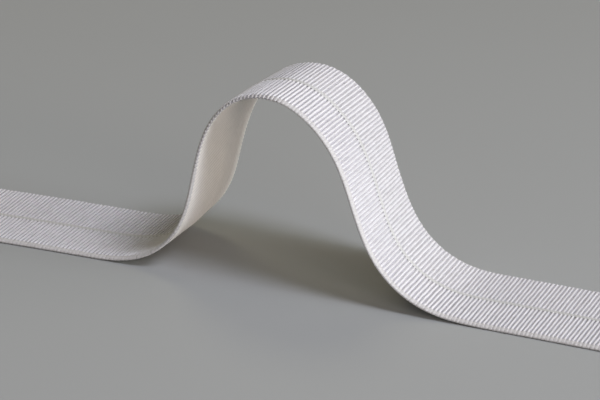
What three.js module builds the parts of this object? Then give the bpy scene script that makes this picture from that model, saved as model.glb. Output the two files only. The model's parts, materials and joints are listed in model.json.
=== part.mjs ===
// A cut length of white fold-over elastic, lying on a flat surface with its ribbed face up.
// It lies flat, stands up in one tall hump and lies flat again. Millimetres, +Z up, and the
// elastic runs along +X with its near edge, the one with the firm selvedge, towards -Y.
import * as THREE from "three";

// Sizes across the elastic, measured from the fold line
const NEAR_HALF = 12;
const FAR_HALF = 13;
const SELVEDGE = 0.8; // smooth band along the near edge
const CHANNEL = 0.6; // width of the recessed fold line between the two columns of ribs
const RIB_SLOPE = 0.35; // a rib rises from nothing to its full height over this length

// Sizes through the elastic
const SHEET = 1; // thickness between the ribs
const RIB_RISE = 0.18;
const LINE_HEIGHT = 0.7; // the line that BENDS describes runs this far above the underside

// Sizes along the elastic
const RIB_PITCH = 0.63;
const RIBS = 231;
const LENGTH = RIBS * RIB_PITCH;
const STEPS_PER_RIB = 2; // one trough and one crest
const SMOOTH_STEP = 2.5; // longest step along the plain underside where it bends

// The bends of the fold line in side view: where each starts, how long it is, and by how many
// degrees it turns the elastic up (+) or down (-). They overlap where the curve runs on. The turns
// add up to nothing, so both ends lie flat.
const BENDS = [
  { name: "foot of the rise", start: 27.5, length: 26.3, turn: 84.5 },
  { name: "straight of the rise", start: 49, length: 29.5, turn: 4 },
  { name: "crest", start: 55.2, length: 25.9, turn: -114.3 },
  { name: "descent", start: 73.4, length: 21.6, turn: -41.2 },
  { name: "foot of the descent", start: 98, length: 24.6, turn: 67 },
];

// The slight bends seen from above, in the same way, with + to the left
const FIRST_YAW = 3.2;
const SIDE_BENDS = [
  { name: "left flat", start: 3, length: 30, turn: -2.8 },
  { name: "hump", start: 58, length: 30, turn: -1.2 },
  { name: "right flat", start: 118, length: 27.5, turn: -1.8 },
];

// How far the elastic leans about its own length and how far both halves droop from the fold
// line, in degrees. It does neither where it lies flat.
const LAY = [
  { at: 36, lean: 0, droop: 0 },
  { at: 51, lean: 0.4, droop: -4.6 },
  { at: 66, lean: -1.6, droop: 0.6 },
  { at: 81, lean: 0.3, droop: -0.1 },
  { at: 96, lean: -0.6, droop: 1.2 },
  { at: 111, lean: -1.1, droop: -1 },
  { at: 126, lean: 0, droop: 0 },
];

// The upper face from the near edge to the far edge: distance from the fold line, and the share
// of the rib's height that the crest of each rib has there
const UPPER_FACE = [
  { name: "near edge", across: -NEAR_HALF, rib: 0 },
  { name: "selvedge", across: -NEAR_HALF + SELVEDGE, rib: 0 },
  { name: "near ribs, outer end", across: -NEAR_HALF + SELVEDGE + RIB_SLOPE, rib: 1 },
  { name: "near ribs, inner end", across: -CHANNEL / 2 - RIB_SLOPE, rib: 1 },
  { name: "fold line", across: 0, rib: 0 },
  { name: "far ribs, inner end", across: CHANNEL / 2 + RIB_SLOPE, rib: 1 },
  { name: "far ribs, outer end", across: FAR_HALF - RIB_SLOPE, rib: 1 },
  { name: "far edge", across: FAR_HALF, rib: 0.3 },
];
const UNDERSIDE = [-NEAR_HALF, 0, FAR_HALF];

const radians = THREE.MathUtils.degToRad;
const smooth = (from, length, at) => THREE.MathUtils.smoothstep(at, from, from + length);

// How far the bends have turned the elastic by a distance along it, in degrees
function turned(bends, along) {
  return bends.reduce((sum, b) => sum + b.turn * smooth(b.start, b.length, along), 0);
}

// A column of LAY at a distance along the elastic, running smoothly from row to row
function layAt(column, along) {
  const next = LAY.findIndex((row) => row.at > along);
  if (next <= 0) return 0;
  const a = LAY[next - 1];
  const b = LAY[next];
  return THREE.MathUtils.lerp(a[column], b[column], smooth(a.at, b.at - a.at, along));
}

// The unit vector along the fold line
function direction(bends, along) {
  const pitch = radians(turned(bends, along));
  const yaw = radians(FIRST_YAW + turned(SIDE_BENDS, along));
  return new THREE.Vector3(
    Math.cos(pitch) * Math.cos(yaw),
    Math.cos(pitch) * Math.sin(yaw),
    Math.sin(pitch),
  );
}

// Points on the fold line, one for each step of the ribs
function foldLine(bends) {
  const fine = 8;
  const step = RIB_PITCH / STEPS_PER_RIB;
  const point = new THREE.Vector3(0, 0, LINE_HEIGHT);
  const points = [point.clone()];
  for (let i = 1; i <= RIBS * STEPS_PER_RIB; i++) {
    for (let j = 0; j < fine; j++) {
      const along = (i - 1 + (j + 0.5) / fine) * step;
      point.addScaledVector(direction(bends, along), step / fine);
    }
    points.push(point.clone());
  }
  return points;
}

// The bends with the last one moved along until the far flat lies on the surface again
function closedBends() {
  const bends = BENDS.map((b) => ({ ...b }));
  const last = bends[bends.length - 1];
  for (let round = 0; round < 20; round++) {
    const gap = foldLine(bends).pop().z - LINE_HEIGHT;
    last.start += gap / Math.sin(radians(last.turn));
  }
  return bends;
}

// Each station along the elastic: its place on the fold line, and the directions across the
// elastic and out of its ribbed face
function makeStations() {
  const bends = closedBends();
  return foldLine(bends).map((centre, i) => {
    const along = (i * RIB_PITCH) / STEPS_PER_RIB;
    const forward = direction(bends, along);
    const across = new THREE.Vector3(-forward.y, forward.x, 0).normalize();
    const lean = radians(layAt("lean", along));
    across.applyAxisAngle(forward, lean);
    return {
      along,
      centre,
      across,
      out: new THREE.Vector3().crossVectors(forward, across),
      level: Math.cos(radians(turned(bends, along))),
      droop: radians(layAt("droop", along)),
      crest: i % STEPS_PER_RIB === 1,
    };
  });
}

// A point of the elastic at a station, by its distance from the fold line and its height above
// the underside. It rests on the surface where it would dip below it.
function pointAt(station, across, height) {
  const fall = Math.abs(across) * Math.sin(station.droop);
  const point = station.centre
    .clone()
    .addScaledVector(station.across, across * Math.cos(station.droop))
    .addScaledVector(station.out, height - LINE_HEIGHT - fall);
  point.z = Math.max(point.z, height * station.level);
  return point;
}

// Collects vertices and triangles
class Skin {
  positions = [];
  triangles = [];

  add(point) {
    this.positions.push(point.x, point.y, point.z);
    return this.positions.length / 3 - 1;
  }

  // A line of vertices, each with its place along the line from 0 to 1
  line(points, places) {
    return points.map((p, i) => ({ id: this.add(p), place: places[i] }));
  }

  // Fills the band between two lines whose points need not match. Seen from outside, line a
  // runs to the right and lies below line b.
  band(a, b) {
    let i = 0;
    let j = 0;
    while (i < a.length - 1 || j < b.length - 1) {
      const stepA = j === b.length - 1 || (i < a.length - 1 && a[i + 1].place <= b[j + 1].place);
      const next = stepA ? a[i + 1] : b[j + 1];
      this.triangles.push(a[i].id, next.id, b[j].id);
      if (stepA) i++;
      else j++;
    }
  }

  geometry() {
    const made = new THREE.BufferGeometry();
    made.setAttribute("position", new THREE.Float32BufferAttribute(this.positions, 3));
    made.setIndex(this.triangles);
    made.computeBoundingBox();
    const middle = made.boundingBox.getCenter(new THREE.Vector3());
    made.translate(-middle.x, -middle.y, -made.boundingBox.min.z);
    made.computeVertexNormals();
    return made;
  }
}

// Stations for the plain underside: both ends, the ends of the flats and a few between them
function undersideStations(stations) {
  const first = BENDS[0].start;
  const last = LAY[LAY.length - 1].at;
  const kept = [stations[0]];
  stations.slice(1, -1).forEach((station, i) => {
    const before = stations[i];
    const bending = station.along >= first && before.along <= last;
    const due = station.along - kept[kept.length - 1].along >= SMOOTH_STEP;
    if (bending && (due || before.along < first)) kept.push(station);
  });
  kept.push(stations[stations.length - 1]);
  return kept;
}

function elasticGeometry() {
  const skin = new Skin();
  const stations = makeStations();
  const plain = undersideStations(stations);
  const places = (list) => list.map((station) => station.along / LENGTH);
  const upper = UPPER_FACE.map(({ across, rib }) => {
    const points = stations.map((station) => {
      const rise = station.crest ? RIB_RISE * rib : 0;
      return pointAt(station, across, SHEET + rise);
    });
    return skin.line(points, places(stations));
  });
  const under = UNDERSIDE.map((across) => {
    return skin.line(plain.map((station) => pointAt(station, across, 0)), places(plain));
  });
  for (let i = 1; i < upper.length; i++) skin.band(upper[i - 1], upper[i]);
  for (let i = 1; i < under.length; i++) skin.band(under[i], under[i - 1]);
  skin.band(under[0], upper[0]);
  skin.band(upper[upper.length - 1], under[under.length - 1]);

  // The two cut ends, each a band from the underside's end points to the upper face's
  const end = (lines, across, last) => {
    const share = (i) => (across[i] + NEAR_HALF) / (NEAR_HALF + FAR_HALF);
    return lines.map((line, i) => ({ id: line[last ? line.length - 1 : 0].id, place: share(i) }));
  };
  const upperAcross = UPPER_FACE.map((row) => row.across);
  skin.band(end(upper, upperAcross, false), end(under, UNDERSIDE, false));
  skin.band(end(under, UNDERSIDE, true), end(upper, upperAcross, true));
  return skin.geometry();
}

const whiteFabric = new THREE.MeshStandardMaterial({
  color: 0xe9e7ee,
  roughness: 0.62,
  metalness: 0,
});

const elastic = new THREE.Mesh(elasticGeometry(), whiteFabric);
elastic.name = "elastic_strip";

const part = new THREE.Group();
part.add(elastic);

export default part;
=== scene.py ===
"""A length of fold-over elastic lying in one tall hump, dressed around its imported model.

The pieces are worked out in millimetres and turned into metres where their meshes are made. The
elastic runs along +X with its near edge towards -Y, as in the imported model.
"""

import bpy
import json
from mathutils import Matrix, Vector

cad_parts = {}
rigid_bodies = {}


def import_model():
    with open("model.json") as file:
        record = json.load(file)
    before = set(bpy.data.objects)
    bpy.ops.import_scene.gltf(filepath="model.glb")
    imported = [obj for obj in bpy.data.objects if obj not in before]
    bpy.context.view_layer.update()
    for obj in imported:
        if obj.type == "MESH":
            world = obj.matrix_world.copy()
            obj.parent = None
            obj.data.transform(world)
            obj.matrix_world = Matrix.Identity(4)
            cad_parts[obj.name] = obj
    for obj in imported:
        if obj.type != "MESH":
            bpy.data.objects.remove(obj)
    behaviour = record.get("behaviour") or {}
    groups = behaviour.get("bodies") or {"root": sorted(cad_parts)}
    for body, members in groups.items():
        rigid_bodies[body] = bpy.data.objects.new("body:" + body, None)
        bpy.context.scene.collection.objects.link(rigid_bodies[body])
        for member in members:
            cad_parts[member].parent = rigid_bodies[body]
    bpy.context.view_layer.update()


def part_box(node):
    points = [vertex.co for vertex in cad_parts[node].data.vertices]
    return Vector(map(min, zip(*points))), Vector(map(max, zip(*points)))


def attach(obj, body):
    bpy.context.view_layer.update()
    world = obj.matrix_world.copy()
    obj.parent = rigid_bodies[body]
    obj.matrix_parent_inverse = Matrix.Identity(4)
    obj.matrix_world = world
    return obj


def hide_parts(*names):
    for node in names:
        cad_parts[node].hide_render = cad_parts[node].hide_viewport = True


bl_info = {
    "name": "Fold-over Elastic",
    "version": (1, 0, 0),
    "blender": (4, 5, 0),
    "location": "3D View > Sidebar > Elastic",
    "description": "A length of ribbed fold-over elastic lying in one tall hump",
    "category": "Add Mesh",
}

import json
from math import cos, pi, radians, sin, tau

import bpy
import numpy as np
from mathutils import Matrix, Vector

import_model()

SOLID = "elastic_strip"
MM = 0.001

# The course of the elastic, in millimetres and degrees, as in the solid. Each bend is where it
# starts, how long it is and how far it turns the elastic up (+), or to the left seen from above.
BENDS = (
    (27.5, 26.3, 84.5),  # foot of the rise
    (49.0, 29.5, 4.0),  # straight of the rise
    (55.2, 25.9, -114.3),  # crest
    (73.4, 21.6, -41.2),  # descent
    (98.0, 24.6, 67.0),  # foot of the descent
)
FIRST_YAW = 3.2
SIDE_BENDS = ((3.0, 30.0, -2.8), (58.0, 30.0, -1.2), (118.0, 27.5, -1.8))

# How far the elastic leans about its length and both halves droop from the fold line, at
# distances along it
LAY = (
    (36.0, 0.0, 0.0),
    (51.0, 0.4, -4.6),
    (66.0, -1.6, 0.6),
    (81.0, 0.3, -0.1),
    (96.0, -0.6, 1.2),
    (111.0, -1.1, -1.0),
    (126.0, 0.0, 0.0),
)
LEAN, DROOP = 1, 2  # columns of LAY
LINE_HEIGHT = 0.7  # the line that the bends describe runs this far above the underside
SOLID_THICKNESS = 1.18  # of the solid, crest of a rib to underside
STEPS_PER_RIB = 16  # steps of the course in each rib
CLOSING_ROUNDS = 20  # rounds that bring the far flat down to the floor

# Columns of a course's table: the place on the fold line, the directions across the elastic and
# out of its ribbed face, the fall of both halves, and how level the elastic lies
CENTRE, ACROSS, OUT, FALL, LEVEL = slice(0, 3), slice(3, 6), slice(6, 9), slice(9, 12), 12

# The selvedge. Its loops part a little before the sharpest part of the crest.
EDGE_THICKNESS = 0.46  # at its outer side
EDGE_RISE = 0.26  # how much thicker it is where it meets the ribs
EDGE_SQUARENESS = 0.75  # of its section: 1 is an ellipse, and less is squarer
EDGE_GAP = 0.01  # between its underside and the floor
PARTING_BEND = 2.625  # degrees a millimetre where the loops begin to part
PARTED_BEND = 5.5417  # degrees a millimetre where they are fully parted
PARTING_LEAD = 5.0  # how far before the bend they do so

STITCH_SLANT = 0.36  # share of a stitch by which the next column of the underside is shifted

# The photograph's view, from a fit of the solid's edges to its outlines
CAMERA_PLACE = (110.6, -380.1, 133.5)
CAMERA_HEADING = 106.01
CAMERA_DOWN = 17.20
CAMERA_ROLL = 4.78
CAMERA_LENS = 161.4  # on a sensor 36 mm wide

# Soft round lamps: heading from +X towards +Y, elevation, distance and diameter in metres,
# watts and colour
LAMPS = (
    ("key_lamp", -20, 55, 1.1, 0.4, 6.0, (0.86, 0.88, 1.0)),
    ("low_front_lamp", -35, 12, 1.1, 0.4, 2.0, (1.0, 0.83, 0.70)),
    ("front_lamp", -60, 20, 0.6, 0.3, 0.55, (1.0, 1.0, 1.0)),
    ("side_lamp", 0, 12, 1.1, 0.4, 5.6, (0.90, 1.0, 1.0)),
    ("low_back_lamp", 20, 12, 1.1, 1.0, 3.1, (1.0, 0.87, 0.80)),
    ("back_lamp", 120, 45, 1.1, 0.4, 1.3, (1.0, 0.90, 0.60)),
)
LAMP_AIM = (0.0, 0.0, 0.012)  # the middle of the hump, in metres
SKY_COLOUR = (1.0, 0.93, 0.78, 1.0)
FLOOR_HALF = 4.0  # half the floor's side, in metres
FLOOR_GAP = 0.00003  # the floor lies this far under the elastic, in metres


def number(name, description, default):
    """A plain number that a user may change."""
    return bpy.props.FloatProperty(
        name=name, description=description, default=default, precision=3, min=0.0
    )


def size(name, description, default):
    """A size that a user may change, in millimetres."""
    return number(name, description + ", in millimetres", default)


def tint(name, description, default):
    """A colour that a user may change."""
    return bpy.props.FloatVectorProperty(
        name=name,
        description=description,
        default=default,
        subtype="COLOR",
        size=3,
        min=0.0,
        max=1.0,
    )


class ElasticSizes(bpy.types.PropertyGroup):
    """Sizes of the elastic, in millimetres."""

    ribs: bpy.props.IntProperty(
        name="Ribs", description="Cross ribs along the whole length", default=231, min=2
    )
    rib_pitch: size("Rib pitch", "From one cross rib to the next", 0.63)
    near_half: size("Near half", "From the fold line to the firm near edge", 12.0)
    far_half: size("Far half", "From the fold line to the soft far edge", 13.0)
    cloth: size("Ground cloth", "Thickness of the cloth under the ribs", 0.42)
    rib_width: size("Rib width", "Width of one rib", 0.39)
    rib_height: size("Rib height", "Height of a rib over the ground cloth", 0.28)
    pinch: size("Pinch", "From one pinched place of a rib to the next", 0.72)
    selvedge: size("Selvedge", "Width of the firm band along the near edge", 1.0)
    channel: size("Channel", "Width of the fold line between the ribs", 0.54)
    binding: size("Binding yarn", "From one binding yarn to the next in a valley", 0.36)


class ElasticColours(bpy.types.PropertyGroup):
    """Colours of the elastic."""

    rib: tint("Ribs", "Bright satin yarn of the ribs", (0.79, 0.78, 0.805))
    # The ground's grey is partly the knit's own tone and partly painted shade for the valleys
    # between the ribs.
    ground_and_shade: tint("Ground", "Fine knit between the ribs", (0.48, 0.465, 0.50))
    # The binding yarns' grey is painted shade: they are made darker than the ribs' yarn so that
    # the valleys they cross stay shaded.
    binding: tint("Binding yarns", "Fine yarns that cross the valleys", (0.56, 0.545, 0.58))
    under: tint("Underside", "Matt knit of the underside", (0.90, 0.865, 0.825))
    selvedge: tint("Selvedge", "Looped yarn of the near edge", (0.63, 0.613, 0.618))
    # The core's near-black colour is painted shade: it stands in for the shade deep between the
    # parted loops.
    core: tint("Selvedge core", "Cord in the shade of the near edge's loops", (0.2, 0.19, 0.19))
    thread: tint("Fold thread", "Fine thread in the fold line", (0.60, 0.595, 0.595))


class StageSettings(bpy.types.PropertyGroup):
    """The floor and the light."""

    floor: tint("Floor", "Plain pale floor", (0.403, 0.413, 0.414))
    light: number("Light", "Brightness of all lamps together", 1.0)
    sky: number("Sky", "Strength of the even light from all round", 0.125)


def smooth(x):
    """From 0 to 1 with no sudden start or stop."""
    x = np.clip(x, 0, 1)
    return x * x * (3 - 2 * x)


def turned(bends, at):
    """How far the bends have turned the elastic at distances along it, in degrees."""
    return sum(turn * smooth((at - start) / length) for start, length, turn in bends)


def pitch_and_yaw(bends, at):
    """The elastic's direction at distances along it, upwards and seen from above."""
    return np.radians(turned(bends, at)), np.radians(FIRST_YAW + turned(SIDE_BENDS, at))


def heading(pitch, yaw):
    """Unit vectors along the elastic."""
    return np.stack(
        [np.cos(pitch) * np.cos(yaw), np.cos(pitch) * np.sin(yaw), np.sin(pitch)], axis=1
    )


def lay_at(at, column):
    """Lean or droop at distances along the elastic, running smoothly from row to row of LAY."""
    rows = np.array(LAY)
    i = np.clip(np.searchsorted(rows[:, 0], at, side="right") - 1, 0, len(rows) - 2)
    share = smooth((at - rows[i, 0]) / (rows[i + 1, 0] - rows[i, 0]))
    return rows[i, column] * (1 - share) + rows[i + 1, column] * share


class Course:
    """The way of the elastic through space, and places on, over and under it."""

    def __init__(self, sizes):
        self.ribs = sizes.ribs
        self.length = sizes.ribs * sizes.rib_pitch
        self.steps = sizes.ribs * STEPS_PER_RIB
        self.step = self.length / self.steps
        self.bends = self.closed_bends()
        at = np.arange(self.steps + 1) * self.step
        pitch, yaw = pitch_and_yaw(self.bends, at)
        lean, droop = (np.radians(lay_at(at, column)) for column in (LEAN, DROOP))
        forward = heading(pitch, yaw)
        level = np.stack([-np.sin(yaw), np.cos(yaw), 0 * yaw], axis=1)
        upward = np.cross(forward, level)
        across = np.cos(lean)[:, None] * level + np.sin(lean)[:, None] * upward
        out = np.cross(forward, across)
        self.table = np.concatenate(
            [
                self.fold_line(self.bends),
                across * np.cos(droop)[:, None],
                out,
                out * np.sin(droop)[:, None],
                np.cos(pitch)[:, None],
            ],
            axis=1,
        )
        self.shift = np.zeros(3)
        self.shift = self.box_centre() - self.own_centre(sizes)

    def fold_line(self, bends):
        """Points on the fold line, one a step."""
        middle = (np.arange(self.steps) + 0.5) * self.step
        start = np.array([[0.0, 0.0, LINE_HEIGHT]])
        moves = heading(*pitch_and_yaw(bends, middle)) * self.step
        return np.concatenate([start, start + np.cumsum(moves, axis=0)])

    def closed_bends(self):
        """The bends with the last one moved along until the far flat lies on the floor."""
        bends = [list(bend) for bend in BENDS]
        for _ in range(CLOSING_ROUNDS):
            gap = self.fold_line(bends)[-1, 2] - LINE_HEIGHT
            bends[-1][0] += gap / sin(radians(bends[-1][2]))
        return bends

    def own_centre(self, sizes):
        """The middle of the strip's own box, seen from above."""
        at = np.arange(self.steps + 1)[:, None, None] * self.step
        across = np.array([-sizes.near_half, 0, sizes.far_half])[None, :, None]
        height = np.array([0, SOLID_THICKNESS])[None, None, :]
        points = self.place(at, across, height).reshape(-1, 3)
        middle = (points.min(axis=0) + points.max(axis=0)) / 2
        middle[2] = 0
        return middle

    @staticmethod
    def box_centre():
        """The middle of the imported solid's box, seen from above, at its lowest height."""
        low, high = (np.array(corner, float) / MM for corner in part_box(SOLID))
        return np.array([(low[0] + high[0]) / 2, (low[1] + high[1]) / 2, low[2]])

    def place(self, along, across, height):
        """Points in millimetres, by distance along, distance from the fold line and height.

        A point that would lie below the floor rests on it.
        """
        along, across, height = np.broadcast_arrays(
            *(np.asarray(x, float) for x in (along, across, height))
        )
        index = np.clip((along / self.step).astype(int), 0, self.steps - 1)
        share = (along / self.step - index)[..., None]
        row = self.table[index] * (1 - share) + self.table[index + 1] * share
        point = (
            row[..., CENTRE]
            + row[..., ACROSS] * across[..., None]
            + row[..., OUT] * (height - LINE_HEIGHT)[..., None]
            - row[..., FALL] * np.abs(across)[..., None]
        )
        point[..., 2] = np.maximum(point[..., 2], height * row[..., LEVEL])
        return point + self.shift

    def stations(self, per_rib):
        """Distances along the whole elastic, shaped as the stations of one tube."""
        return np.linspace(0, self.length, self.ribs * per_rib + 1)[None, :, None]

    def parting(self, at):
        """How far the selvedge's loops are parted, from 0 to 1, where the edge is bent."""
        ahead = at + PARTING_LEAD
        turn = turned(self.bends, ahead - self.step) - turned(self.bends, ahead + self.step)
        bend = turn / (2 * self.step)
        return smooth((bend - PARTING_BEND) / (PARTED_BEND - PARTING_BEND))


def ripple(at, wavelength, seed):
    """Smooth seeded noise from -1 to 1, for yarn that is never quite even."""
    count = 4096
    at = np.asarray(at, float) / wavelength
    values = np.random.RandomState(seed).uniform(-1, 1, count)
    index = np.floor(at).astype(int)
    share = smooth(at - index)
    return values[index % count] * (1 - share) + values[(index + 1) % count] * share


def draws(own, spread, count):
    """A small random difference for each of the tubes."""
    return own.normal(0, spread, (count, 1, 1))


def ring(sides):
    """Angles round a tube."""
    return np.linspace(0, tau, sides, endpoint=False)[None, None, :]


def tubes(name, points, lay):
    """Closed tubes in one mesh, from points shaped (tubes, stations, around, 3) in millimetres.

    lay holds three values for each point, which its material reads.
    """
    sharp_angle = radians(75)
    count, stations, around = points.shape[:3]
    ids = np.arange(count * stations * around).reshape(count, stations, around)
    next_ids = np.roll(ids, -1, axis=2)
    walls = np.stack(
        [ids[:, :-1], ids[:, 1:], next_ids[:, 1:], next_ids[:, :-1]], axis=-1
    ).reshape(-1, 4)
    near_caps = ids[:, 0].reshape(-1, around)
    far_caps = ids[:, -1, ::-1].reshape(-1, around)
    faces = [walls, near_caps, far_caps]
    flat = points.reshape(-1, 3)
    a, b, c, d = (flat[walls[:, i]] for i in range(4))
    volume = (a * np.cross(b, c)).sum() + (a * np.cross(c, d)).sum()
    if volume < 0:
        faces = [face[:, ::-1] for face in faces]
    mesh = bpy.data.meshes.new(name)
    mesh.from_pydata((flat * MM).tolist(), [], [f for face in faces for f in face.tolist()])
    stored = mesh.attributes.new("lay", "FLOAT_VECTOR", "POINT")
    stored.data.foreach_set("vector", np.ascontiguousarray(lay, dtype=np.float32).ravel())
    mesh.polygons.foreach_set("use_smooth", np.ones(len(mesh.polygons), dtype=bool))
    mesh.set_sharp_from_angle(angle=sharp_angle)
    mesh.validate()
    return mesh


def laid_tubes(name, course, along, across, height, third):
    """Tubes that follow the course, from places on it shaped (tubes, stations, around).

    third is what the material reads beside the distances along and across: in most pieces
    the share of the way round the tube.
    """
    along, across, height, third = np.broadcast_arrays(along, across, height, third)
    lay = np.stack([along, across, third], axis=-1)
    return tubes(name, course.place(along, across, height), lay)


def add_piece(mesh, *materials, trim=True):
    """A piece of the elastic, riding with the solid. Trim is what the ground cloth carries."""
    for material in materials:
        mesh.materials.append(material)
    piece = bpy.data.objects.new(mesh.name, mesh)
    bpy.context.scene.collection.objects.link(piece)
    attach(piece, "root")
    if trim:
        piece["trim"] = True
    return piece


class Wire:
    """A shader value on which Python's arithmetic adds the maths nodes."""

    def __init__(self, finish, socket):
        self.finish = finish
        self.socket = socket

    def __add__(self, other):
        return self.finish.maths("ADD", self, other)

    def __sub__(self, other):
        return self.finish.maths("SUBTRACT", self, other)

    def __rsub__(self, other):
        return self.finish.maths("SUBTRACT", other, self)

    def __mul__(self, other):
        return self.finish.maths("MULTIPLY", self, other)

    def __truediv__(self, other):
        return self.finish.maths("DIVIDE", self, other)

    def __rtruediv__(self, other):
        return self.finish.maths("DIVIDE", other, self)

    __radd__ = __add__
    __rmul__ = __mul__


class Finish:
    """A material being made, node by node."""

    def __init__(self, name):
        self.material = bpy.data.materials.new(name)
        self.material.use_nodes = True
        self.tree = self.material.node_tree
        self.tree.nodes.clear()

    def node(self, kind, settings=None, values=None, output=0):
        """Adds a node: its settings first, then the values or links of its sockets."""
        node = self.tree.nodes.new("ShaderNode" + kind)
        for name, value in (settings or {}).items():
            setattr(node, name, value)
        for name, value in (values or {}).items():
            if isinstance(value, Wire):
                self.tree.links.new(value.socket, node.inputs[name])
            else:
                node.inputs[name].default_value = value
        return Wire(self, node.outputs[output] if len(node.outputs) else None)

    def maths(self, operation, *values):
        """One maths node."""
        return self.node("Math", {"operation": operation}, dict(enumerate(values)))

    def wave(self, turns):
        """A sine wave from 0 to 1, with one period in each turn."""
        return self.maths("SINE", turns * tau) * 0.5 + 0.5

    def ramp(self, value, low, high):
        """0 below low, 1 above high and smooth between them."""
        return self.node(
            "MapRange",
            {"interpolation_type": "SMOOTHSTEP"},
            {"Value": value, "From Min": low, "From Max": high},
        )

    def mix(self, share, first, second):
        """From the first colour to the second."""
        factor, a, b, result = 0, 6, 7, 2  # the sockets for colours
        values = {factor: share, a: first, b: second}
        return self.node("Mix", {"data_type": "RGBA"}, values, output=result)

    def lay(self):
        """The piece's own coordinates: distance along, distance across, share round."""
        settings = {"attribute_type": "GEOMETRY", "attribute_name": "lay"}
        vector = self.node("Attribute", settings, output=1)
        return [self.node("SeparateXYZ", None, {0: vector}, output=i) for i in range(3)]

    def vector(self, x, y, z):
        """Three values as one vector."""
        return self.node("CombineXYZ", None, {0: x, 1: y, 2: z})

    def noise(self, vector, scale, detail=2.0):
        """Cloudy noise from about 0 to 1."""
        return self.node(
            "TexNoise", None, {"Vector": vector, "Scale": scale, "Detail": detail}
        )

    def bump(self, height, distance, strength):
        """Fine relief, with its distance in metres."""
        values = {"Height": height, "Distance": distance, "Strength": strength}
        return self.node("Bump", None, values)

    def shade(self, **sockets):
        """Ends the material in one Principled shader."""
        values = {name.replace("_", " "): value for name, value in sockets.items()}
        surface = self.node("BsdfPrincipled", None, values)
        self.node("OutputMaterial", None, {"Surface": surface})
        return self.material


def rgba(colour, share=1.0):
    """A colour made darker or lighter."""
    return (*[channel * share for channel in colour], 1.0)


def satin_finish(colours, sizes):
    """Bright satin yarn: fine filaments along each rib, a little unevenly bright."""
    f = Finish("satin_rib")
    along, across, around = f.lay()
    rib = f.maths("FLOOR", along / sizes.rib_pitch)
    own = f.node("TexWhiteNoise", {"noise_dimensions": "1D"}, {"W": rib})
    patch = f.noise(f.vector(along, across, 0.0), 0.55)
    strands = f.noise(f.vector(around * 11.0, across * 0.9, rib * 3.7), 1.0, 3.0)
    share = own * 0.12 + patch * 0.5 + strands * 0.5
    colour = f.mix(f.ramp(share, 0.3, 0.85), rgba(colours.rib, 0.90), rgba(colours.rib, 1.03))
    return f.shade(
        Base_Color=colour,
        Roughness=0.34 + strands * 0.2,
        Normal=f.bump(strands, 0.00003, 0.5),
        Specular_IOR_Level=0.5,
        Sheen_Weight=0.15,
        Sheen_Roughness=0.4,
    )


def ground_finish(colours, sizes):
    """The fine knit seen between the ribs, greyer partly of its own and partly as painted shade
    of the valleys, with a dot of painted shade at each stitch.
    """
    f = Finish("ground_knit_and_shade")
    along, across, _ = f.lay()
    stitch = f.wave(across / sizes.binding * 2 + along / sizes.rib_pitch)
    patch = f.noise(f.vector(along, across, 0.0), 1.6)
    share = stitch * 0.6 + patch * 0.4
    return f.shade(
        Base_Color=f.mix(share, rgba(colours.ground_and_shade, 0.75), rgba(colours.ground_and_shade, 1.15)),
        Roughness=0.7,
        Normal=f.bump(stitch, 0.00005, 0.6),
        Sheen_Weight=0.1,
        Sheen_Roughness=0.5,
    )


def under_finish(colours, sizes):
    """The matt warm underside, with short slanting stitches in columns."""
    f = Finish("under_knit")
    along, across, _ = f.lay()
    place = f.vector(along, across, 0.0)
    column = across / sizes.pinch
    slant = f.wave(along / sizes.rib_pitch - column * STITCH_SLANT)
    seam = f.wave(column)
    patch = f.noise(place, 0.8)
    fuzz = f.noise(place, 9.0, 3.0)
    share = slant * 0.5 + seam * 0.1 + patch * 0.4 + fuzz * 0.2
    return f.shade(
        Base_Color=f.mix(share, rgba(colours.under, 0.78), rgba(colours.under, 1.10)),
        Roughness=0.85,
        Normal=f.bump(slant * 0.6 + fuzz * 0.5, 0.00007, 0.8),
        Sheen_Weight=0.2,
        Sheen_Roughness=0.6,
    )


def yarn_finish(name, colour):
    """Plied yarn with a slight twist, for all but the ribs and the ground cloth."""
    f = Finish(name)
    along, across, around = f.lay()
    plies = f.wave(along * 4.0 + around * 2.0)
    patch = f.noise(f.vector(along, across, around), 1.3)
    share = plies * 0.35 + patch * 0.65
    return f.shade(
        Base_Color=f.mix(share, rgba(colour, 0.86), rgba(colour, 1.06)),
        Roughness=0.5 + patch * 0.2,
        Normal=f.bump(plies, 0.00003, 0.5),
        Sheen_Weight=0.15,
        Sheen_Roughness=0.5,
    )


def floor_finish(colour):
    """A plain pale tabletop with hardly any mottling."""
    f = Finish("plain_floor")
    own_place = f.node("TexCoord", output=3)
    patch = f.noise(own_place, 6.0, 3.0)
    return f.shade(
        Base_Color=f.mix(patch, rgba(colour, 0.97), rgba(colour, 1.03)),
        Roughness=0.75,
        Specular_IOR_Level=0.25,
    )


def groups(context):
    """The sizes, the colours and the stage's settings."""
    return [getattr(context.scene, name) for name in GROUPS]


def shared(context):
    """The sizes, the colours and the course that the pieces share."""
    sizes, colours, _ = groups(context)
    return sizes, colours, Course(sizes)


def rounded_end(distance, reach):
    """How full a cord is at a distance from its end, where it is rounded off within reach."""
    tip = 0.1
    return np.sqrt(np.clip(distance / reach, 0, 1) * (1 - tip) + tip)


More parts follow.
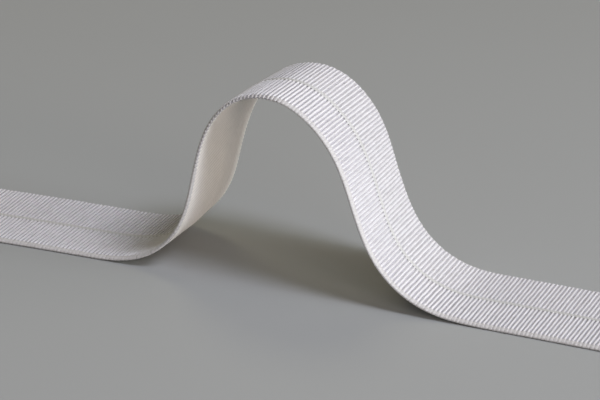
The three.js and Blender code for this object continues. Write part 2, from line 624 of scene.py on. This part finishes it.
def rib_cords(name, course, sizes, inner, outer, seed, taper, fullness, wrap):
    """One column of ribs from the fold line out to an edge, as half-round cords.

    inner and outer are distances from the fold line, and taper is how far from its outer end
    a cord is rounded off. A fuller cord is wider and lower. Its outer end turns down by wrap.
    """
    stations = 71
    crowding = 0.14  # how far the stations crowd towards both ends
    even = np.linspace(0, 1, stations)[None, :, None]
    eased = 0.5 - 0.5 * np.cos(even * pi)
    share = even * (1 - crowding) + eased * crowding
    across = inner + (outer - inner) * share
    reach = abs(outer - inner)
    from_inner = reach * share
    from_outer = reach * (1 - share)

    count = sizes.ribs
    rib = np.arange(count)[:, None, None]
    own = np.random.RandomState(seed)
    offset = draws(own, 0.007, count)
    width = sizes.rib_width * fullness * (1 + draws(own, 0.03, count))
    height = sizes.rib_height / fullness * (1 + draws(own, 0.025, count))
    phase = own.uniform(-0.22, 0.22, (count, 1, 1))

    def uneven(apart, wavelength, noise_seed):
        """Noise along the ribs, each of which reads a stretch of its own."""
        return ripple(from_inner + rib * apart, wavelength, noise_seed)

    # Each rib wanders in long and short waves, swells, and is pinched where it is bound down
    wander = uneven(17.3, 1.9, seed + 1) * 0.026 + uneven(41.9, 0.6, seed + 3) * 0.012
    swell = 1 + uneven(31.7, 0.9, seed + 2) * 0.09
    bound = np.cos((from_inner / sizes.pinch + phase) * tau)
    pinch = 1 - 0.17 * np.clip(bound, 0, 1) ** 3
    inner_taper = 0.2
    end = rounded_end(from_inner, inner_taper) * rounded_end(from_outer, taper)

    # The section: over the top of the cord from side to side, and one point under it
    over = np.radians([0, 42, 90, 138, 180])
    side = np.append(np.cos(over), 0.0)
    rise = np.append(np.sin(over), -0.22)
    sunk = 0.05  # how deep the sides of the cord lie in the ground cloth
    tip_width = 0.55  # share of its width that a cord keeps to its very end
    narrowing = tip_width + (1 - tip_width) * end
    middle = (rib + 0.5) * sizes.rib_pitch + offset + wander
    along = middle + side * width / 2 * pinch * swell * narrowing
    wrap_reach = 0.4  # from the outer end, where the cord starts to turn down
    lift = sizes.cloth - sunk + rise * (height + sunk) * pinch * end
    lift = lift - wrap * smooth(1 - from_outer / wrap_reach) ** 2
    round_share = np.linspace(0, 1, side.size, endpoint=False)
    return laid_tubes(name, course, along, across, lift, round_share)


class ELASTIC_OT_ribs(bpy.types.Operator):
    """Build both columns of satin ribs"""

    bl_idname = "elastic.ribs"
    bl_label = "Ribs"

    def execute(self, context):
        sizes, colours, course = shared(context)
        satin = satin_finish(colours, sizes)
        gap = sizes.channel / 2
        near_end = -sizes.near_half + sizes.selvedge * 0.8  # over the selvedge's inner side
        far_end = sizes.far_half - 0.02
        near = rib_cords(
            "ribs_near", course, sizes, -gap, near_end, seed=11, taper=0.5, fullness=1.05, wrap=0
        )
        far = rib_cords(
            "ribs_far", course, sizes, gap, far_end, seed=23, taper=0.1, fullness=1.18, wrap=0.24
        )
        add_piece(near, satin)
        add_piece(far, satin)
        return {"FINISHED"}


def squared(value):
    """A sine or cosine drawn out, which squares off a round section a little."""
    return np.sign(value) * np.abs(value) ** EDGE_SQUARENESS


def edge_section(sizes, angle, outward):
    """A place on the selvedge's section, which thins towards its outer side.

    angle runs round it from its inner side over the top, and outward is the distance
    outside its skin.
    """
    sideways, upward = squared(np.cos(angle)), squared(np.sin(angle))
    half = sizes.selvedge / 2
    across = -sizes.near_half + half + sideways * (half + outward)
    thickness = EDGE_THICKNESS + EDGE_RISE * (sideways + 1) / 2
    height = EDGE_GAP + thickness / 2 + upward * (thickness / 2 + outward)
    return across, height


def selvedge_core(course, sizes):
    """The cord inside the loops of the near edge."""
    at = course.stations(4)
    angle = ring(16)
    inset = 0.06 + 0.17 * course.parting(at)  # it shows deep between parted loops
    across, height = edge_section(sizes, angle, -inset)
    return laid_tubes("selvedge_core", course, at, across, height, angle / tau)


def selvedge_loops(course, sizes):
    """A loop of yarn round the near edge for each rib, thicker and narrower where they part."""
    count = sizes.ribs
    loop = np.arange(count)[:, None, None]
    stations = 15
    way = np.linspace(0, 1, stations)[None, :, None]
    angle = ring(8)
    own = np.random.RandomState(5)
    middle = (loop + 0.5) * sizes.rib_pitch + draws(own, 0.01, count)
    parting = course.parting(middle)
    half_width = sizes.rib_pitch * (0.50 - 0.23 * parting) * (1 + draws(own, 0.03, count))
    thickness = (0.05 + 0.11 * parting) * (1 + draws(own, 0.08, count))
    tuck = np.sqrt(np.clip(np.sin(way * pi) * 3, 0.04, 1))  # both ends are drawn in
    outward = thickness * (np.cos(angle) - 1) * tuck
    mouth = radians(15)  # the loop is open by this much on each side of the ribs
    across, height = edge_section(sizes, mouth + way * (tau - 2 * mouth), outward)
    slant = 0.06 * np.cos(way * pi)  # from rib to rib, as a stitch slants
    along = middle + half_width * np.sin(angle) * tuck + slant
    return laid_tubes("selvedge_loops", course, along, across, height, angle / tau)


class ELASTIC_OT_selvedge(bpy.types.Operator):
    """Build the firm near edge, a cord in loops of yarn"""

    bl_idname = "elastic.selvedge"
    bl_label = "Selvedge"

    def execute(self, context):
        sizes, colours, course = shared(context)
        # The core is coloured near black as painted shade for the gaps between the loops.
        core = yarn_finish("selvedge_core_painted_shade", colours.core)
        loops = yarn_finish("selvedge_yarn", colours.selvedge)
        add_piece(selvedge_core(course, sizes), core)
        add_piece(selvedge_loops(course, sizes), loops)
        return {"FINISHED"}


def flat_yarn(name, course, across, height, half_width, half_height, sides):
    """One yarn along the whole elastic, with an elliptical section."""
    angle = ring(sides)
    sideways = across + half_width * np.cos(angle)
    upward = height + half_height * np.sin(angle)
    return laid_tubes(name, course, course.stations(4), sideways, upward, angle / tau)


def fold_chain(course, sizes):
    """Two fine strands that cross along the fold line."""
    at = course.stations(8)
    turn = at / sizes.rib_pitch * pi
    strand = np.array([1, -1])[:, None, None]
    angle = ring(5)
    swing, lift = 0.05, 0.008  # sideways and up and down, as the strands cross
    half_width, half_height = 0.07, 0.04
    across = swing * strand * np.sin(turn) + half_width * np.cos(angle)
    middle = sizes.cloth + 0.18 + lift * np.cos(turn) * strand
    height = middle + half_height * np.sin(angle)
    return laid_tubes("fold_chain", course, at, across, height, angle / tau)


class ELASTIC_OT_fold_line(bpy.types.Operator):
    """Build the yarns in the fold line, a flat band under a fine chain"""

    bl_idname = "elastic.fold_line"
    bl_label = "Fold line"

    def execute(self, context):
        sizes, colours, course = shared(context)
        finish = yarn_finish("fold_yarn", colours.thread)
        half_width = sizes.channel / 2 + 0.25  # it reaches under the ends of the ribs
        band = flat_yarn("fold_band", course, 0, sizes.cloth + 0.13, half_width, 0.09, sides=8)
        add_piece(band, finish)
        add_piece(fold_chain(course, sizes), finish)
        return {"FINISHED"}


def binding_yarns(name, course, sizes, inner, outer, seed, lift):
    """Fine yarns that cross the valleys of one column of ribs, from rib to rib."""
    valleys = sizes.ribs - 1
    rows = int(abs(outer - inner) / sizes.binding)
    valley = np.arange(1, sizes.ribs)[:, None]
    row = np.arange(rows)[None, :]
    own = np.random.RandomState(seed)
    share = (row + 0.25 + 0.5 * (valley % 2)) / rows
    across = inner + (outer - inner) * share + own.normal(0, 0.02, (valleys, rows))
    across = across.reshape(-1, 1, 1)
    middle = np.broadcast_to(valley * sizes.rib_pitch, (valleys, rows)).reshape(-1, 1, 1)

    # Each yarn is a three-sided tube, over the valley from one rib to the next and lowest midway
    reach = np.array([-0.16, 0.0, 0.16])[None, :, None]
    rise = np.array([0.05, 0.0, 0.05])[None, :, None]
    slant = 0.35  # distance across for each distance along
    half_width, half_height = 0.085, 0.06
    angle = np.radians([90, 210, 330])[None, None, :]
    sideways = across + half_width * np.cos(angle) + reach * slant
    height = sizes.cloth + lift + rise + half_height * np.sin(angle)
    return laid_tubes(name, course, middle + reach, sideways, height, angle / tau)


class ELASTIC_OT_bindings(bpy.types.Operator):
    """Build the fine yarns that bind each rib to the next, and the far edge's yarn"""

    bl_idname = "elastic.bindings"
    bl_label = "Binding yarns"

    def execute(self, context):
        sizes, colours, course = shared(context)
        # The binding yarns' darker colour is painted shade of the valleys.
        finish = yarn_finish("binding_yarn_shaded", colours.binding)
        gap = sizes.channel / 2 + 0.1  # clear of the fold line's chain
        near_end = -sizes.near_half + sizes.selvedge * 0.9  # as far as the selvedge
        far_end = sizes.far_half - 0.12  # as far as the edge's yarn
        near = binding_yarns("bindings_near", course, sizes, -gap, near_end, seed=61, lift=-0.02)
        far = binding_yarns("bindings_far", course, sizes, gap, far_end, seed=67, lift=0.07)
        edge = flat_yarn(
            "edge_yarn", course, sizes.far_half - 0.15, sizes.cloth - 0.03, 0.11, 0.11, sides=6
        )
        add_piece(near, finish)
        add_piece(far, finish)
        add_piece(edge, yarn_finish("edge_yarn", colours.selvedge))
        return {"FINISHED"}


def end_yarns(course, sizes):
    """Short ends of the stretch yarns that stand out of both cuts by differing lengths."""
    inside = 0.4  # how far each end reaches back into the cloth
    first = -sizes.near_half + sizes.selvedge
    count = int((sizes.far_half - first) / sizes.pinch)
    middle = first + (np.arange(count)[:, None, None] + 0.4) * sizes.pinch
    stations = 5
    share = np.linspace(0, 1, stations)[None, :, None]
    angle = ring(8)
    radius = 0.13 * (1 - 0.25 * share**3)  # a little thinner at the cut
    across = middle + radius * np.cos(angle)
    height = sizes.cloth / 2 + radius * np.sin(angle)
    own = np.random.RandomState(41)
    along = []
    for start, way in ((0.0, -1.0), (course.length, 1.0)):
        reach = own.uniform(0.05, 0.28, (count, 1, 1))
        along.append(start + way * (share * (reach + inside) - inside))
    along = np.concatenate(along)
    across = np.tile(across, (2, 1, 1))
    return laid_tubes("end_yarns", course, along, across, height, angle / tau)


class ELASTIC_OT_end_yarns(bpy.types.Operator):
    """Build the ends of the stretch yarns that show in both cuts"""

    bl_idname = "elastic.end_yarns"
    bl_label = "Cut yarn ends"

    def execute(self, context):
        sizes, colours, course = shared(context)
        add_piece(end_yarns(course, sizes), yarn_finish("stretch_yarn", colours.under))
        return {"FINISHED"}


def ground_cloth(course, sizes):
    """The cloth that carries the ribs, plain above and with the knit's relief below.

    The third value of its lay is the height above the underside.
    """
    near = -sizes.near_half + 0.12  # inside the selvedge
    far = sizes.far_half - 0.02
    rim = 0.1  # from each edge to the nearest points above and below
    above = np.linspace(near + rim, far - rim, 14)
    below = np.linspace(far - rim, near + rim, 88)
    across = np.concatenate([above, [far], below, [near]])
    top = np.full(above.size, sizes.cloth)
    middle = [sizes.cloth / 2]
    height = np.concatenate([top, middle, np.zeros(below.size), middle])
    is_below = np.concatenate([np.zeros(above.size + 1), np.ones(below.size), [0.0]])

    at = course.stations(4)
    column = across / sizes.pinch
    slant = np.sin((at / sizes.rib_pitch - column * STITCH_SLANT) * tau)
    seam = np.cos(column * tau)
    relief = 0.035 * (1 - slant) + 0.012 * (1 + seam)
    height = height + is_below * relief
    return laid_tubes("ground_cloth", course, at, across, height, height)


def give_underside(mesh, below, material_index):
    """Gives a material to the faces that lie lower in the cloth than a height."""
    stored = np.empty(len(mesh.vertices) * 3, dtype=np.float32)
    mesh.attributes["lay"].data.foreach_get("vector", stored)
    low = stored.reshape(-1, 3)[:, 2] < below
    for face in mesh.polygons:
        if all(low[i] for i in face.vertices):
            face.material_index = material_index


class ELASTIC_OT_cloth(bpy.types.Operator):
    bl_idname = "elastic.cloth"
    bl_label = "Ground cloth"

    def execute(self, context):
        sizes, colours, course = shared(context)
        mesh = ground_cloth(course, sizes)
        # The ground knit's darker colour is partly painted shade of the valleys between the
        # ribs.
        ground_and_shade, underside = ground_finish(colours, sizes), under_finish(colours, sizes)
        piece = add_piece(mesh, ground_and_shade, underside, trim=False)
        give_underside(mesh, below=sizes.cloth * 0.35, material_index=1)
        trims = [held.name for held in context.scene.objects if held.get("trim")]
        if not trims:
            raise RuntimeError("the ground cloth is built after the pieces that it carries")
        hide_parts(SOLID)
        return {"FINISHED"}


def direction(turn, rise):
    """A unit vector, from degrees counted from +X towards +Y and degrees upwards."""
    turn, rise = radians(turn), radians(rise)
    return Vector((cos(turn) * cos(rise), sin(turn) * cos(rise), sin(rise)))


def soft_lamp(name, turn, rise, distance, diameter, watts, colour):
    """A round lamp aimed at the middle of the hump."""
    lamp = bpy.data.lights.new(name, "AREA")
    lamp.shape = "DISK"
    lamp.size = diameter
    lamp.energy = watts
    lamp.color = colour
    held = bpy.data.objects.new(name, lamp)
    way = direction(turn, rise)
    held.location = Vector(LAMP_AIM) + way * distance
    held.rotation_euler = way.to_track_quat("Z", "Y").to_euler()
    held.visible_camera = False
    bpy.context.scene.collection.objects.link(held)


def even_sky(scene, strength):
    """The same soft light from all round."""
    world = scene.world or bpy.data.worlds.new("studio")
    scene.world = world
    world.use_nodes = True
    sky = world.node_tree.nodes["Background"]
    sky.inputs["Color"].default_value = SKY_COLOUR
    sky.inputs["Strength"].default_value = strength


def photograph_camera(scene):
    """The camera at the photograph's place and angle."""
    roll = radians(CAMERA_ROLL)
    ahead = direction(CAMERA_HEADING, -CAMERA_DOWN)
    level = direction(CAMERA_HEADING - 90, 0)
    upright = level.cross(ahead)
    right = level * cos(roll) + upright * sin(roll)
    up = upright * cos(roll) - level * sin(roll)
    data = bpy.data.cameras.new("photograph_view")
    data.lens = CAMERA_LENS
    data.sensor_fit = "HORIZONTAL"
    data.sensor_width = 36.0
    data.clip_start = 0.01
    data.clip_end = 20.0
    camera = bpy.data.objects.new("photograph_view", data)
    turned_axes = Matrix((right, up, -ahead)).transposed().to_4x4()
    camera.matrix_world = Matrix.Translation(Vector(CAMERA_PLACE) * MM) @ turned_axes
    scene.collection.objects.link(camera)
    scene.camera = camera


def plain_floor(scene, colour):
    """The tabletop, which isn't part of the elastic."""
    half = FLOOR_HALF
    corners = [(-half, -half), (half, -half), (half, half), (-half, half)]
    mesh = bpy.data.meshes.new("floor")
    mesh.from_pydata([(x, y, -FLOOR_GAP) for x, y in corners], [], [(0, 1, 2, 3)])
    mesh.materials.append(floor_finish(colour))
    floor = bpy.data.objects.new("floor", mesh)
    scene.collection.objects.link(floor)


class ELASTIC_OT_stage(bpy.types.Operator):
    """Set the camera, the floor, the lamps and the sky"""

    bl_idname = "elastic.stage"
    bl_label = "Stage"

    def execute(self, context):
        _, _, stage = groups(context)
        photograph_camera(context.scene)
        plain_floor(context.scene, stage.floor)
        for name, turn, rise, distance, diameter, watts, colour in LAMPS:
            soft_lamp(name, turn, rise, distance, diameter, watts * stage.light, colour)
        even_sky(context.scene, stage.sky)
        context.scene.view_settings.view_transform = "Standard"
        return {"FINISHED"}


class ELASTIC_PT_panel(bpy.types.Panel):
    """Lists the settings and the steps that build the elastic"""

    bl_idname = "ELASTIC_PT_panel"
    bl_label = "Fold-over elastic"
    bl_space_type = "VIEW_3D"
    bl_region_type = "UI"
    bl_category = "Elastic"

    def draw(self, context):
        for group in groups(context):
            box = self.layout.box()
            for name in group.__annotations__:
                box.prop(group, name)
        for operator in OPERATORS:
            self.layout.operator(operator.bl_idname)


GROUPS = {
    "elastic_sizes": ElasticSizes,
    "elastic_colours": ElasticColours,
    "elastic_stage": StageSettings,
}
OPERATORS = (
    ELASTIC_OT_stage,
    ELASTIC_OT_ribs,
    ELASTIC_OT_selvedge,
    ELASTIC_OT_fold_line,
    ELASTIC_OT_bindings,
    ELASTIC_OT_end_yarns,
    ELASTIC_OT_cloth,
)


def register():
    for kind in (*GROUPS.values(), *OPERATORS, ELASTIC_PT_panel):
        bpy.utils.register_class(kind)
    for name, group in GROUPS.items():
        setattr(bpy.types.Scene, name, bpy.props.PointerProperty(type=group))


def unregister():
    for name in GROUPS:
        delattr(bpy.types.Scene, name)
    for kind in (ELASTIC_PT_panel, *reversed(OPERATORS), *GROUPS.values()):
        bpy.utils.unregister_class(kind)


def main():
    """Builds everything in order."""
    register()
    bpy.ops.elastic.stage()
    bpy.ops.elastic.ribs()
    bpy.ops.elastic.selvedge()
    bpy.ops.elastic.fold_line()
    bpy.ops.elastic.bindings()
    bpy.ops.elastic.end_yarns()
    bpy.ops.elastic.cloth()


if __name__ == "__main__":
    main()
